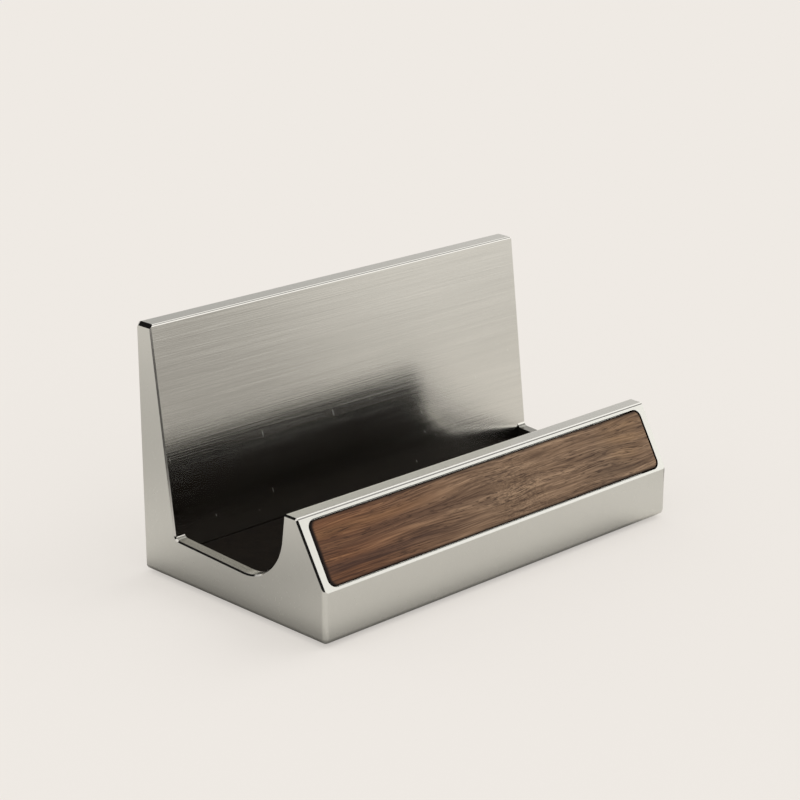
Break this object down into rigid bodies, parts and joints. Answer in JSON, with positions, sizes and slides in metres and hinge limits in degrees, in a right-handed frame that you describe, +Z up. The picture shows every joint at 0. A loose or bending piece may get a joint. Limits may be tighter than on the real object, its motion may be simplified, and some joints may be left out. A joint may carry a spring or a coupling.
{
  "type": "business card holder stand",
  "caption": "Heavy metal desk stand for business cards: tapered back wall, open-ended card well lined with black felt, and a slanted front lip with a walnut inlay.",
  "frame": {"origin": "on the desk, under the middle of the stand", "axes": "+Z up, +X along the length of the stand, -Y towards the front lip with its inlay"},
  "size_m": [0.1, 0.0524, 0.0522],
  "materials": {
    "brushed_metal": "brushed along the length, satin on the ends, polished edges",
    "walnut": "oiled, smooth, grain along the length",
    "black_felt": "pressed felt",
    "foot_rubber": "matt",
    "adhesive_film": "thin film"
  },
  "bodies": {
    "root": {"body": "brushed_metal", "front_inlay": "walnut", "inlay_adhesive": "adhesive_film", "well_liner": "black_felt", "liner_adhesive": "adhesive_film", "lip_pad": "black_felt", "lip_pad_adhesive": "adhesive_film", "foot_front_left": "foot_rubber", "foot_front_right": "foot_rubber", "foot_rear_left": "foot_rubber", "foot_rear_right": "foot_rubber", "foot_adhesive_front_left": "adhesive_film", "foot_adhesive_front_right": "adhesive_film", "foot_adhesive_rear_left": "adhesive_film", "foot_adhesive_rear_right": "adhesive_film"}
  },
  "joints": []
}
